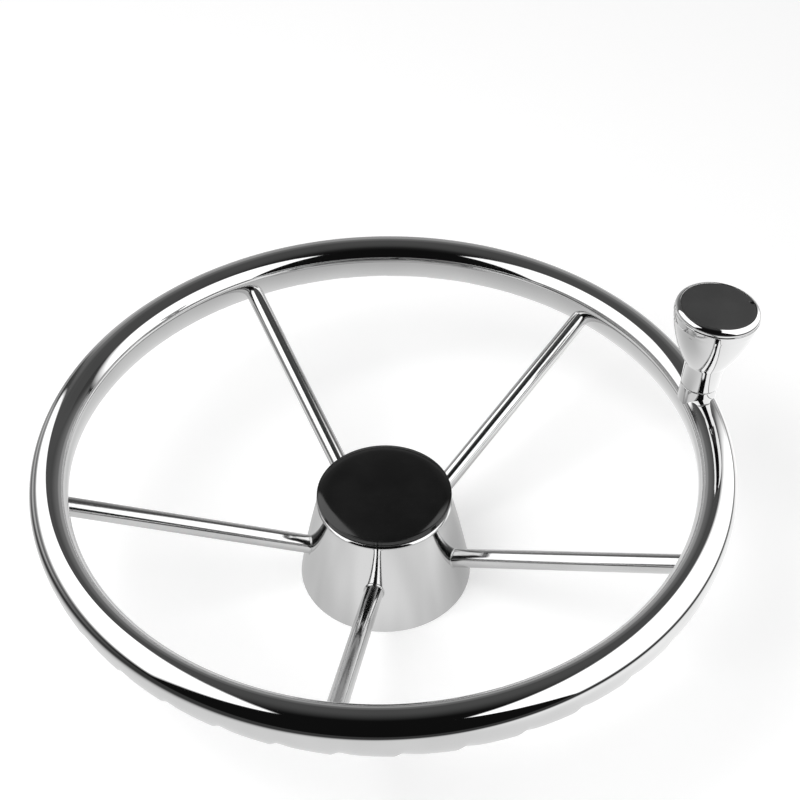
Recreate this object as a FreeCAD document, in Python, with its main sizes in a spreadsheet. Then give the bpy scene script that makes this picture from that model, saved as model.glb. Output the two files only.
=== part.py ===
import FreeCAD, Part
import math
import os
import re
import Sketcher
from FreeCAD import Vector, Rotation, Placement

# Stainless boat steering wheel: a rim with forty finger grips on its underside,
# five dished spokes, a conical hub with a taper-bored boss and a black cap, and
# a knob that spins on the rim.
# Frame: origin on the wheel's axis at the hub's base ring, +Z up the axis
# towards the person who steers, -Y to the front. Millimetres and degrees.

doc = FreeCAD.newDocument("boat_wheel")
sheet = doc.addObject("Spreadsheet::Sheet", "Dim")

driving_sizes = [
    ("fit_gap", 0.03),
    # rim: the section's centre runs at this ring radius and height
    ("rim_ring_radius", 162.3),
    ("rim_height", 85.0),
    ("rim_tube_radius", 9.15),
    ("grip_count", 40),
    ("grip_depth", 14.7),
    ("grip_bottom_radius", 7.0),
    ("grip_tilt", 5.2),
    ("grip_skew", 35.0),
    ("grip_phase", 8.0),
    ("grip_overlap", 2.6),
    ("trim_block", 60.0),
    # spokes, from inside the hub shell to inside the rim
    ("spoke_count", 5),
    ("spoke_radius", 4.75),
    ("spoke_phase", -99.0),
    ("spoke_hub_ring", 35.0),
    ("spoke_hub_height", 23.3),
    ("spoke_seat_inset", 4.8),
    ("spoke_seat_drop", 7.5),
    ("weld_throat", 0.7),
    ("weld_rim_lean", 25.0),
    # hub shell
    ("hub_base_radius", 44.6),
    ("hub_top_radius", 34.1),
    ("hub_side_height", 50.4),
    ("hub_height", 52.4),
    ("hub_bow_radius", 680.0),
    ("hub_wall", 2.5),
    ("hub_lip_radius", 1.15),
    ("hub_lip_inset", 0.8),
    ("hub_mouth_radius", 31.6),
    ("hub_mouth_depth", 3.5),
    # plate and boss inside the hub
    ("plate_height", 31.0),
    ("plate_thickness", 5.0),
    ("boss_foot", 3.0),
    ("boss_radius", 20.5),
    ("boss_neck_radius", 17.0),
    ("boss_top", 38.0),
    ("boss_chamfer", 1.0),
    ("land_length", 5.0),
    ("land_radius", 8.0),
    ("taper_mouth_radius", 9.525),
    ("taper_ratio", 24.0),
    ("keyway_width", 4.76),
    ("keyway_depth", 2.4),
    ("inner_weld", 1.8),
    # hub cap
    ("cap_flange_radius", 33.8),
    ("cap_flange", 0.8),
    ("cap_groove", 0.6),
    ("cap_radius", 34.1),
    ("cap_side", 1.8),
    ("cap_edge", 0.6),
    ("cap_shoulder", 6.0),
    ("cap_shoulder_drop", 1.5),
    ("cap_shoulder_radius", 16.0),
    ("cap_dome_rise", 0.6),
    ("cap_wall", 1.8),
    ("cap_skirt_depth", 6.0),
    ("cap_slot_count", 6),
    ("cap_slot_width", 5.0),
    ("cap_slot_height", 4.0),
    # knob: its axis starts in the middle of the rim's section and leans out
    ("knob_inset", 0.6),
    ("knob_angle", 11.1),
    ("knob_lean", 4.0),
    ("mount_radius", 9.3),
    ("mount_foot", 3.0),
    ("mount_top", 12.7),
    ("stud_radius", 4.0),
    ("stud_foot", 6.0),
    ("spindle_radius", 5.0),
    ("bush_wall", 2.0),
    ("bush_flange", 0.5),
    ("bush_flange_radius", 8.8),
    ("bush_length", 6.5),
    ("neck_foot_radius", 9.45),
    ("neck_chamfer", 0.4),
    ("neck_top_radius", 10.2),
    ("neck_top", 26.8),
    ("cup_floor", 30.0),
    ("cup_flare_radius", 75.0),
    ("cup_shoulder_radius", 20.5),
    ("cup_shoulder", 54.0),
    ("cup_lip_radius", 21.0),
    ("cup_lip_start", 57.8),
    ("cup_lip_round", 4.4),
    ("cup_mouth_radius", 18.25),
    ("cup_seat_radius", 17.2),
    ("cup_seat_depth", 1.5),
    ("cup_top", 61.7),
    ("cup_wall", 1.6),
    ("washer_radius", 8.6),
    ("washer_thickness", 1.0),
    ("head_radius", 7.5),
    ("head_height", 5.5),
    ("hex_radius", 3.5),
    ("hex_depth", 3.2),
    ("lid_thickness", 1.7),
    ("lid_wall", 1.4),
    ("lid_skirt", 5.0),
    ("lid_notch_radius", 0.9),
]

names = {name for name, value in driving_sizes}
for row, (name, value) in enumerate(driving_sizes, start=1):
    sheet.set("A%d" % row, name)
    sheet.set("B%d" % row, str(value))
    sheet.setAlias("B%d" % row, name)
doc.recompute()


def formula(text):
    # An expression in the sheet's names, such as "rim_height - fit_gap".
    return re.sub(r"[a-z_]+", lambda word: "Dim." + word.group()
                  if word.group() in names else word.group(), text)


def size(text):
    return float(sheet.evalExpression(formula(text)))


sub_parts = []


def sub_part(thing, label, placement=None):
    thing.Label = label
    if placement is not None:
        thing.Placement = placement
    sub_parts.append(thing)
    return thing


def new_body(name):
    return doc.addObject("PartDesign::Body", name + "_body")


def origin_item(body, role):
    return [item for item in body.Origin.OriginFeatures if item.Role == role][0]


def new_sketch(body, name, role, offset):
    sketch = body.newObject("Sketcher::SketchObject", name)
    sketch.AttachmentSupport = [(origin_item(body, role), "")]
    sketch.MapMode = "FlatFace"
    sketch.AttachmentOffset = offset
    sketch.Visibility = False
    return sketch


def hold(sketch, kind, label, text, *where):
    number = sketch.addConstraint(Sketcher.Constraint(kind, *where, size(text)))
    sketch.renameConstraint(number, label)
    sketch.setExpression("Constraints." + label, formula(text))


def add_run(sketch, start, end, radius, side):
    # A straight run, or an arc that bows to the left (side 1) or right (-1).
    # Gives back which of its end points comes first.
    if not radius:
        sketch.addGeometry(Part.LineSegment(start, end), False)
        return 1, 2
    half = (end - start).Length / 2
    along = (end - start).normalize()
    left = Vector(-along.y, along.x, 0)
    reach = math.sqrt(max(radius * radius - half * half, 0.0))
    centre = (start + end) / 2 - left * side * reach
    first, last = (start, end) if side < 0 else (end, start)
    angles = [math.atan2(spot.y - centre.y, spot.x - centre.x) for spot in (first, last)]
    if angles[1] < angles[0]:
        angles[1] += 2 * math.pi
    circle = Part.Circle(centre, Vector(0, 0, 1), radius)
    sketch.addGeometry(Part.ArcOfCircle(circle, *angles), False)
    return (1, 2) if side < 0 else (2, 1)


def outline(sketch, corners):
    # A closed outline. A corner is (across, up), or (across, up, radius, side)
    # where the run to the next corner is an arc.
    spots = [Vector(size(corner[0]), size(corner[1]), 0) for corner in corners]
    ends = []
    for index, corner in enumerate(corners):
        radius, side = (size(corner[2]), corner[3]) if len(corner) > 2 else (0, 0)
        follower = spots[(index + 1) % len(spots)]
        ends.append(add_run(sketch, spots[index], follower, radius, side))
    for index, corner in enumerate(corners):
        follower = (index + 1) % len(corners)
        sketch.addConstraint(Sketcher.Constraint(
            "Coincident", index, ends[index][1], follower, ends[follower][0]))
        point = ends[index][0]
        for kind, axis, text, letter in (
                ("DistanceX", -2, corner[0], "x"), ("DistanceY", -1, corner[1], "y")):
            if text == "0":
                sketch.addConstraint(Sketcher.Constraint("PointOnObject", index, point, axis))
            else:
                hold(sketch, kind, letter + str(index), text, -1, 1, index, point)
        if len(corner) > 2:
            hold(sketch, "Radius", "bend" + str(index), corner[2], index)


def turned(body, name, corners, offset=Placement(), angle=None):
    # A solid of revolution about the sketch's vertical axis, or an arc of one
    # with the sketch in its middle.
    sketch = new_sketch(body, name + "_section", "XZ_Plane", offset)
    outline(sketch, corners)
    solid = body.newObject("PartDesign::Revolution", name)
    solid.Profile = sketch
    solid.ReferenceAxis = (sketch, ["V_Axis"])
    solid.Angle = angle or 360
    solid.Midplane = angle is not None
    return solid


def checked(cut, blank):
    # A cut that points away from the solid would remove nothing, silently.
    doc.recompute()
    if not cut.Shape.Volume < blank - 0.1:
        raise ValueError(cut.Name + " removed nothing")
    return cut


def pocketed(body, name, frame, length, corners=None, radius=None, upward=False):
    # A pocket from the XY plane of the given frame, down its Z axis or up it.
    doc.recompute()
    blank = body.Tip.Shape.Volume
    sketch = new_sketch(body, name + "_outline", "XY_Plane", frame)
    if corners:
        outline(sketch, corners)
    else:
        sketch.addGeometry(Part.Circle(Vector(0, 0, 0), Vector(0, 0, 1), size(radius)), False)
        sketch.addConstraint(Sketcher.Constraint("Coincident", 0, 3, -1, 1))
        hold(sketch, "Radius", "bore", radius, 0)
    cut = body.newObject("PartDesign::Pocket", name)
    cut.Profile = sketch
    cut.setExpression("Length", formula(length))
    cut.Reversed = upward
    return checked(cut, blank)


def polar(body, name, feature, count):
    pattern = body.newObject("PartDesign::PolarPattern", name)
    if feature is None:
        pattern.TransformMode = "Whole shape"
    else:
        pattern.Originals = [feature]
    pattern.Axis = (origin_item(body, "Z_Axis"), [""])
    pattern.Angle = 360
    pattern.setExpression("Occurrences", formula(count))
    body.Tip = pattern
    doc.recompute()
    return pattern


def primitive(kind, name, placement=Placement(), **sizes):
    thing = doc.addObject("Part::" + kind, name)
    for item, text in sizes.items():
        thing.setExpression(item, formula(text))
    thing.Placement = placement
    return thing


def cut_from(name, base, tool):
    cut = doc.addObject("Part::Cut", name)
    cut.Base = base
    cut.Tool = tool
    return cut


# Places that several pieces share

up = Vector(0, 0, 1)
grip_pitch = 360.0 / round(size("grip_count"))
spoke_pitch = 360.0 / round(size("spoke_count"))
# the spokes end inside the rim, inwards and below the middle of its section
spoke_rim_ring = "(rim_ring_radius - spoke_seat_inset)"
spoke_rim_height = "(rim_height - spoke_seat_drop)"


def spoke_frame(turn, ring):
    # Z along a spoke, outwards; the origin on its axis at the given ring radius.
    rise = size(spoke_rim_height + " - spoke_hub_height")
    run = size(spoke_rim_ring + " - spoke_hub_ring")
    height = size("spoke_hub_height") + (ring - size("spoke_hub_ring")) * rise / run
    dish = math.degrees(math.atan2(rise, run))
    heading = Rotation(up, turn)
    place = heading.multVec(Vector(ring, 0, height))
    return Placement(place, heading * Rotation(Vector(0, 1, 0), 90 - dish))


knob_turn = Rotation(up, size("knob_angle"))
knob_frame = Placement(
    knob_turn.multVec(Vector(size("rim_ring_radius - knob_inset"), 0, size("rim_height"))),
    knob_turn * Rotation(Vector(0, 1, 0), size("knob_lean")))

# Rim. The upper half of its section is round. The lower half is an oval of
# three arcs, and each finger grip is a short length of that oval turned about
# an axis that leans, so that it starts tucked in and ends proud, where it
# steps up to the next grip's start. The step dies out at both sides and runs
# aslant over the bottom.


def oval_corners(half_width, depth, bottom_radius, middle, top):
    # The lower oval, hung from the height top: two side arcs and a bottom arc.
    drop = "(%s - %s)" % (depth, bottom_radius)
    side = "((%s^2 + %s^2 - %s^2) / (2 * (%s - %s)))" % (
        half_width, drop, bottom_radius, half_width, bottom_radius)
    lean_x = "%s * (%s - %s) / (%s - %s)" % (bottom_radius, side, half_width, side, bottom_radius)
    lean_y = "%s * (1 + %s / (%s - %s))" % (drop, bottom_radius, side, bottom_radius)
    return [
        ("%s - %s" % (middle, half_width), top, side, -1),
        ("%s - %s" % (middle, lean_x), "%s - %s" % (top, lean_y), bottom_radius, -1),
        ("%s + %s" % (middle, lean_x), "%s - %s" % (top, lean_y), side, -1),
        ("%s + %s" % (middle, half_width), top),
    ]


rim = new_body("rim")
grip_turn = size("grip_phase") + grip_pitch / 2
grip_frame = Placement(
    Vector(0, size("rim_height"), 0),
    Rotation(Vector(0, 1, 0), grip_turn) * Rotation(Vector(1, 0, 0), -size("grip_tilt")))
grip_section = oval_corners(
    "rim_tube_radius", "grip_depth", "grip_bottom_radius", "rim_ring_radius", "0")
turned(rim, "grip_blank", grip_section + [
    ("rim_ring_radius + rim_tube_radius", "grip_overlap"),
    ("rim_ring_radius - rim_tube_radius", "grip_overlap")], grip_frame, 2.5 * grip_pitch)


def grip_edge(turn, behind):
    # The frame of the block that trims a grip along its slanting edge.
    heading = Rotation(up, turn + size("grip_skew"))
    middle = Rotation(up, turn).multVec(Vector(size("rim_ring_radius"), 0, 0))
    if behind:
        heading = heading * Rotation(up, 180)
    corner = middle - heading.multVec(Vector(size("trim_block / 2"), 0, 0))
    return Placement(corner + Vector(0, 0, size("rim_height + trim_block / 4")), heading)


block = [("0", "0"), ("trim_block", "0"), ("trim_block", "trim_block"), ("0", "trim_block")]
pocketed(rim, "grip_start", grip_edge(grip_turn - grip_pitch / 2, True), "trim_block", block)
pocketed(rim, "grip_end", grip_edge(grip_turn + grip_pitch / 2, False), "trim_block", block)
top_frame = Placement(Vector(0, 0, size("rim_height")), Rotation(up, grip_turn - 45))
pocketed(rim, "grip_top", top_frame, "trim_block", [
    ("0", "0"), ("2 * rim_ring_radius", "0"),
    ("2 * rim_ring_radius", "2 * rim_ring_radius"), ("0", "2 * rim_ring_radius")], upward=True)
polar(rim, "grips", None, "grip_count")
# the crown's seam lies in the middle of a grip, clear of the steps
crown_frame = Placement(Vector(0, 0, 0), Rotation(Vector(0, 1, 0), grip_turn))
rim_crown = turned(rim, "rim_crown", [
    ("rim_ring_radius - rim_tube_radius", "rim_height", "rim_tube_radius", 1),
    ("rim_ring_radius", "rim_height + rim_tube_radius", "rim_tube_radius", 1),
    ("rim_ring_radius + rim_tube_radius", "rim_height")], crown_frame)

# the spokes' sockets and the knob stud's hole
spoke_turn = size("spoke_phase")
socket_end = spoke_frame(spoke_turn, size(spoke_rim_ring + " + fit_gap"))
socket = pocketed(rim, "spoke_socket", socket_end, "3 * spoke_radius", radius="spoke_radius + fit_gap")
polar(rim, "spoke_sockets", socket, "spoke_count")
stud_end = knob_frame * Placement(Vector(0, 0, size("stud_foot - fit_gap")), Rotation())
pocketed(rim, "stud_hole", stud_end, "mount_top", radius="stud_radius + fit_gap", upward=True)
sub_part(rim, "rim")

# Spokes: plain rods, each in a socket of the rim and a hole of the hub shell.

spoke_length = "sqrt((%s - spoke_hub_ring)^2 + (%s - spoke_hub_height)^2)" % (
    spoke_rim_ring, spoke_rim_height)
for index in range(round(size("spoke_count"))):
    label = "spoke_%d" % (index + 1)
    place = spoke_frame(spoke_turn + index * spoke_pitch, size("spoke_hub_ring"))
    rod = primitive("Cylinder", label + "_rod", place, Radius="spoke_radius", Height=spoke_length)
    sub_part(rod, label)

# Hub shell: a conical skirt with slightly bowed sides, a rolled lip round its
# mouth for the cap, and a straight seat inside the mouth.


def inside_radius(height):
    # The skirt's inner side, a straight cone, at a height over the base.
    fall = "(%s) * (hub_base_radius - hub_top_radius) / hub_side_height" % height
    return "(hub_base_radius - hub_wall - " + fall + ")"


hub_shell = new_body("hub_shell")
mouth_foot = "hub_side_height - hub_mouth_depth"
skirt = turned(hub_shell, "skirt", [
    ("hub_base_radius - hub_wall", "0"),
    ("hub_base_radius", "0", "hub_bow_radius", -1),
    ("hub_top_radius", "hub_side_height", "hub_lip_radius", -1),
    ("hub_top_radius - hub_lip_inset", "hub_height"),
    ("hub_mouth_radius", "hub_height"),
    ("hub_mouth_radius", mouth_foot + " + hub_mouth_depth / 2"),
    (inside_radius(mouth_foot), mouth_foot)])
hole_end = spoke_frame(spoke_turn, size("hub_base_radius + spoke_radius"))
hole = pocketed(hub_shell, "spoke_hole", hole_end, "4 * spoke_radius", radius="spoke_radius + fit_gap")
polar(hub_shell, "spoke_holes", hole, "spoke_count")
sub_part(hub_shell, "hub_shell")

# Plate across the inside of the shell, and the weld that holds it

plate_top = "(plate_height + plate_thickness)"
hub_plate = new_body("hub_plate")
turned(hub_plate, "plate", [
    ("boss_neck_radius + fit_gap", "plate_height"),
    (inside_radius("plate_height") + " - fit_gap", "plate_height"),
    (inside_radius(plate_top) + " - fit_gap", plate_top),
    ("boss_neck_radius + fit_gap", plate_top)])
sub_part(hub_plate, "hub_plate")

plate_weld = new_body("plate_weld")
turned(plate_weld, "plate_bead", [
    (inside_radius("plate_height") + " - fit_gap - inner_weld", "plate_height"),
    (inside_radius("plate_height") + " - fit_gap", "plate_height"),
    (inside_radius("(plate_height - inner_weld)") + " - fit_gap", "plate_height - inner_weld")])
sub_part(plate_weld, "plate_weld")

# Boss: turned bar with a keyed taper bore and a straight land above it for the
# threaded end of the helm shaft. Its shoulder sits under the plate.

land_foot = "(boss_top - land_length)"
hub_boss = new_body("hub_boss")
turned(hub_boss, "boss", [
    ("taper_mouth_radius", "boss_foot"),
    ("boss_radius - boss_chamfer", "boss_foot"),
    ("boss_radius", "boss_foot + boss_chamfer"),
    ("boss_radius", "plate_height"),
    ("boss_neck_radius", "plate_height"),
    ("boss_neck_radius", "boss_top"),
    ("land_radius", "boss_top"),
    ("land_radius", land_foot),
    ("taper_mouth_radius - (%s - boss_foot) / taper_ratio" % land_foot, land_foot)])
key_frame = Placement(Vector(0, -size("keyway_width") / 2, size("boss_foot")), Rotation())
keyway_reach = "taper_mouth_radius + keyway_depth"
pocketed(hub_boss, "keyway", key_frame, land_foot + " - boss_foot", [
    ("0", "0"), (keyway_reach, "0"),
    (keyway_reach, "keyway_width"), ("0", "keyway_width")], upward=True)
sub_part(hub_boss, "hub_boss")

boss_weld = new_body("boss_weld")
turned(boss_weld, "boss_bead", [
    ("boss_neck_radius + fit_gap", plate_top),
    ("boss_neck_radius + fit_gap + inner_weld", plate_top),
    ("boss_neck_radius + fit_gap", plate_top + " + inner_weld")])
sub_part(boss_weld, "boss_weld")

# Hub cap: black moulding with a low dome that rolls over a rounded shoulder, a
# groove over its flange and a slotted skirt that grips the mouth of the shell.

flange_top = "(hub_height + cap_flange)"
side_foot = "(%s + cap_groove)" % flange_top
side_top = "(%s + cap_side)" % side_foot
shoulder_foot = "(%s + cap_edge)" % side_top
shoulder_foot_radius = "(cap_radius - cap_edge)"
dome_foot = "(%s + cap_shoulder_drop)" % shoulder_foot
dome_edge = "(%s - cap_shoulder)" % shoulder_foot_radius
dome_radius = "(%s^2 + cap_dome_rise^2) / (2 * cap_dome_rise)" % dome_edge
skirt_radius = "(hub_mouth_radius - fit_gap)"
skirt_foot = "(hub_height - cap_skirt_depth)"
hub_cap = new_body("hub_cap")
turned(hub_cap, "cap", [
    ("0", dome_foot + " + cap_dome_rise - cap_wall"),
    (skirt_radius + " - cap_wall", side_top),
    (skirt_radius + " - cap_wall", skirt_foot),
    (skirt_radius, skirt_foot),
    (skirt_radius, "hub_height"),
    ("cap_flange_radius", "hub_height"),
    ("cap_flange_radius", flange_top),
    ("cap_flange_radius - cap_groove", flange_top),
    ("cap_flange_radius - cap_groove", side_foot),
    ("cap_radius", side_foot),
    ("cap_radius", side_top, "cap_edge", -1),
    (shoulder_foot_radius, shoulder_foot, "cap_shoulder_radius", -1),
    (dome_edge, dome_foot, dome_radius, -1),
    ("0", dome_foot + " + cap_dome_rise")])
slot_frame = Placement(
    Vector(size("hub_mouth_radius - 2 * cap_wall"), -size("cap_slot_width") / 2, size(skirt_foot)),
    Rotation())
slot = pocketed(hub_cap, "skirt_slot", slot_frame, "cap_slot_height", [
    ("0", "0"), ("4 * cap_wall", "0"),
    ("4 * cap_wall", "cap_slot_width"), ("0", "cap_slot_width")], upward=True)
polar(hub_cap, "skirt_slots", slot, "cap_slot_count")
sub_part(hub_cap, "hub_cap")

# Weld beads round the spokes: a ring laid in the corner and trimmed by what it
# joins.


def bead_cut(name, frame, carrier):
    ring = primitive("Torus", name + "_ring", frame, Radius1="spoke_radius", Radius2="weld_throat")
    open_ring = cut_from(name + "_trim", ring, carrier)
    core_frame = spoke_frame(spoke_turn, size("spoke_hub_ring"))
    core = primitive("Cylinder", name + "_core", core_frame, Radius="spoke_radius + fit_gap",
                     Height=spoke_length)
    return cut_from(name + "_bead", open_ring, core)


def around(bead, label):
    # The same bead at every spoke, as one node of separate solids.
    node = doc.addObject("Part::Feature", label + "_beads")
    doc.recompute()
    beads = []
    for index in range(round(size("spoke_count"))):
        copy = bead.Shape.copy()
        copy.rotate(Vector(0, 0, 0), up, index * spoke_pitch)
        beads.append(copy)
    node.Shape = Part.Compound(beads)
    return sub_part(node, label)


def bead_frame(wall, buried_ring, lean):
    # Where a spoke's axis comes out of a wall, half a throat clear of it, with Z
    # along the wall's own normal.
    inside = spoke_frame(spoke_turn, buried_ring).Base
    outside = spoke_frame(spoke_turn, size("(spoke_hub_ring + %s) / 2" % spoke_rim_ring)).Base
    buried = Part.makeLine(inside, outside).common(wall.Shape)
    skin = min((corner.Point for corner in buried.Vertexes), key=outside.distanceToPoint)
    place = skin + (outside - inside).normalize() * size("weld_throat / 2")
    return Placement(place, Rotation(up, spoke_turn) * Rotation(Vector(0, 1, 0), 90 - lean))


hub_side_lean = math.degrees(math.atan2(
    size("hub_base_radius - hub_top_radius"), size("hub_side_height")))
hub_frame = bead_frame(skirt, size("spoke_hub_ring"), hub_side_lean)
rim_frame = bead_frame(rim_crown, size(spoke_rim_ring), size("weld_rim_lean"))
around(bead_cut("hub", hub_frame, hub_shell), "hub_welds")
around(bead_cut("rim", rim_frame, rim), "rim_welds")

# Knob: a collar welded on the rim carries a shoulder bolt, and the knob turns
# on it in two flanged bushes. All are drawn about Z and placed by knob_frame.

collar = primitive("Cylinder", "collar", knob_frame * Placement(
    Vector(0, 0, size("mount_foot")), Rotation()),
    Radius="mount_radius", Height="mount_top - mount_foot")
saddle = primitive("Torus", "saddle", Placement(Vector(0, 0, size("rim_height")), Rotation()),
                   Radius1="rim_ring_radius", Radius2="rim_tube_radius + fit_gap")
stud_bore = primitive("Cylinder", "stud_bore", knob_frame,
                      Radius="stud_radius + fit_gap", Height="2 * mount_top")
knob_mount = cut_from("mount", cut_from("mount_saddle", collar, saddle), stud_bore)
sub_part(knob_mount, "knob_mount")

bush_radius = "(spindle_radius + fit_gap + bush_wall)"
knob_foot = "(mount_top + bush_flange + 2 * fit_gap)"
washer_foot = "(cup_floor + bush_flange + 2 * fit_gap)"
head_foot = "(%s + washer_thickness + fit_gap)" % washer_foot

knob_bolt = new_body("knob_bolt")
turned(knob_bolt, "bolt", [
    ("0", "stud_foot"),
    ("stud_radius", "stud_foot"),
    ("stud_radius", "mount_top"),
    ("spindle_radius", "mount_top"),
    ("spindle_radius", head_foot),
    ("head_radius", head_foot),
    ("head_radius", head_foot + " + head_height"),
    ("0", head_foot + " + head_height")])
hex_frame = Placement(Vector(0, 0, size(head_foot + " + head_height - hex_depth")), Rotation())
pocketed(knob_bolt, "hex_socket", hex_frame, "hex_depth", [
    ("hex_radius * cos(%d deg)" % angle, "hex_radius * sin(%d deg)" % angle)
    for angle in range(30, 390, 60)], upward=True)
sub_part(knob_bolt, "knob_bolt", knob_frame)


def bush(label, flange_low, flange_high, sleeve_low, sleeve_high):
    # A flanged sleeve: the flange is at its lower or its upper end.
    body = new_body(label)
    inner = "spindle_radius + fit_gap"
    if flange_low:
        corners = [(inner, flange_low), ("bush_flange_radius", flange_low),
                   ("bush_flange_radius", sleeve_low), (bush_radius, sleeve_low),
                   (bush_radius, sleeve_high), (inner, sleeve_high)]
    else:
        corners = [(inner, sleeve_low), (bush_radius, sleeve_low),
                   (bush_radius, sleeve_high), ("bush_flange_radius", sleeve_high),
                   ("bush_flange_radius", flange_high), (inner, flange_high)]
    turned(body, label + "_sleeve", corners)
    return sub_part(body, label, knob_frame)


lower_flange = "(mount_top + fit_gap)"
upper_seat = "(cup_floor + fit_gap)"
bush("knob_bush_lower", lower_flange, None,
     lower_flange + " + bush_flange", lower_flange + " + bush_flange + bush_length")
bush("knob_bush_upper", None, upper_seat + " + bush_flange",
     upper_seat + " - bush_length", upper_seat)

knob_washer = new_body("knob_washer")
turned(knob_washer, "washer", [
    ("spindle_radius + fit_gap", washer_foot),
    ("washer_radius", washer_foot),
    ("washer_radius", washer_foot + " + washer_thickness"),
    ("spindle_radius + fit_gap", washer_foot + " + washer_thickness")])
sub_part(knob_washer, "knob_washer", knob_frame)

knob_body = new_body("knob_body")
seat_height = "(cup_top - cup_seat_depth)"
seat_foot = "(%s - lid_skirt)" % seat_height
turned(knob_body, "cup", [
    (bush_radius + " + fit_gap", knob_foot),
    ("neck_foot_radius - neck_chamfer", knob_foot),
    ("neck_foot_radius", knob_foot + " + neck_chamfer"),
    ("neck_top_radius", "neck_top", "cup_flare_radius", -1),
    ("cup_shoulder_radius", "cup_shoulder"),
    ("cup_lip_radius", "cup_lip_start", "cup_lip_round", -1),
    ("cup_mouth_radius", "cup_top"),
    ("cup_mouth_radius", seat_height),
    ("cup_seat_radius", seat_height),
    ("cup_seat_radius", seat_foot),
    ("cup_shoulder_radius - cup_wall", seat_foot + " - cup_wall", "cup_flare_radius - cup_wall", 1),
    ("neck_top_radius", "cup_floor"),
    (bush_radius + " + fit_gap", "cup_floor")])
sub_part(knob_body, "knob_body", knob_frame)

knob_lid = new_body("knob_lid")
lid_foot = "(%s + fit_gap)" % seat_height
lid_skirt_radius = "(cup_seat_radius - fit_gap)"
turned(knob_lid, "lid", [
    ("0", lid_foot),
    (lid_skirt_radius + " - lid_wall", lid_foot),
    (lid_skirt_radius + " - lid_wall", lid_foot + " - lid_skirt"),
    (lid_skirt_radius, lid_foot + " - lid_skirt"),
    (lid_skirt_radius, lid_foot),
    ("cup_mouth_radius - fit_gap", lid_foot),
    ("cup_mouth_radius - fit_gap", lid_foot + " + lid_thickness"),
    ("0", lid_foot + " + lid_thickness")])
notch_frame = Placement(Vector(size("cup_mouth_radius"), 0, size(lid_foot)), Rotation())
pocketed(knob_lid, "pry_notch", notch_frame, "2 * lid_thickness", radius="lid_notch_radius", upward=True)
sub_part(knob_lid, "knob_lid", knob_frame)

# Check everything, then write one file for each sub-part

doc.recompute()
for thing in doc.Objects:
    if "Invalid" in thing.State or "Error" in thing.State:
        raise ValueError("%s is %s" % (thing.Label, thing.State))
os.makedirs("parts", exist_ok=True)
for thing in sub_parts:
    shape = thing.Shape
    if shape.isNull() or not shape.isValid() or shape.Volume <= 0:
        raise ValueError(thing.Label + " has no valid solid")
    print("%-16s %9.0f mm3, %d solid(s), %d faces" % (
        thing.Label, shape.Volume, len(shape.Solids), len(shape.Faces)))
    shape.exportStep("parts/%s.step" % thing.Label)
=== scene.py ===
import math
import bpy
from mathutils import Matrix, Vector


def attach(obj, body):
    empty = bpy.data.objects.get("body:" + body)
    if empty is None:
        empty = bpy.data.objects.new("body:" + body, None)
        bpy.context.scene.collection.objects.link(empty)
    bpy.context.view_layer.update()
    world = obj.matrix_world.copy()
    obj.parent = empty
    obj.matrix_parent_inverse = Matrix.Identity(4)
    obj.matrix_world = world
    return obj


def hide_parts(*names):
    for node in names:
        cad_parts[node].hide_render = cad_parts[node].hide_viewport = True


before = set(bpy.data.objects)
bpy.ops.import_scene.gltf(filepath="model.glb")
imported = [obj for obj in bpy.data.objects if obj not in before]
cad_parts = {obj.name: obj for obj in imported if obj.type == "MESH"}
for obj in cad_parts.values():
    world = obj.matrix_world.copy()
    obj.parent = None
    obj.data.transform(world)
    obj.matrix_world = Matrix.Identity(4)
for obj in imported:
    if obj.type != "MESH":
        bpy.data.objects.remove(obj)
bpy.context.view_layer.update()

mm = 0.001
fullTurn = 2 * math.pi
print("frame loaded:", len(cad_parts), "nodes")


# node tree helpers
def addNode(tree, kind, **settings):
    node = tree.nodes.new(kind)
    for name, value in settings.items():
        setattr(node, name, value)
    return node


def feed(tree, socket, value):
    # a link from another node's output, or a plain value
    if isinstance(value, bpy.types.NodeSocket):
        tree.links.new(value, socket)
    elif value is not None:
        socket.default_value = value


def mathNode(tree, operation, first, second=None):
    node = addNode(tree, "ShaderNodeMath", operation=operation)
    for socket, value in zip(node.inputs, (first, second)):
        feed(tree, socket, value)
    return node.outputs[0]


def rampNode(tree, value, low, high, toLow=0.0, toHigh=1.0, smooth=True):
    kind = "SMOOTHSTEP" if smooth else "LINEAR"
    node = addNode(tree, "ShaderNodeMapRange", interpolation_type=kind)
    for index, item in enumerate((value, low, high, toLow, toHigh)):
        feed(tree, node.inputs[index], item)
    return node.outputs[0]


def startMaterial(name):
    material = bpy.data.materials.new(name)
    material.use_nodes = True
    tree = material.node_tree
    tree.nodes.clear()
    shader = addNode(tree, "ShaderNodeBsdfPrincipled")
    output = addNode(tree, "ShaderNodeOutputMaterial")
    tree.links.new(shader.outputs[0], output.inputs["Surface"])
    place = addNode(tree, "ShaderNodeTexCoord").outputs["Object"]
    return material, tree, shader, place


def noiseNode(tree, place, scale, detail=3.0, rough=0.5):
    node = addNode(tree, "ShaderNodeTexNoise")
    feed(tree, node.inputs["Vector"], place)
    node.inputs["Scale"].default_value = scale
    node.inputs["Detail"].default_value = detail
    node.inputs["Roughness"].default_value = rough
    return node.outputs["Fac"]


def stretched(tree, place, scale, shift=(0, 0, 0)):
    node = addNode(tree, "ShaderNodeMapping", vector_type="POINT")
    feed(tree, node.inputs["Vector"], place)
    node.inputs["Location"].default_value = shift
    node.inputs["Scale"].default_value = scale
    return node.outputs[0]


def mixNode(tree, kind, sockets, values):
    # a Mix node has sockets of one name for every kind, so they go by number
    node = addNode(tree, "ShaderNodeMix", data_type=kind)
    for index, value in zip(sockets, values):
        feed(tree, node.inputs[index], value)
    return node


def mixColours(tree, factor, first, second):
    return mixNode(tree, "RGBA", (0, 6, 7), (factor, first, second)).outputs[2]


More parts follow.
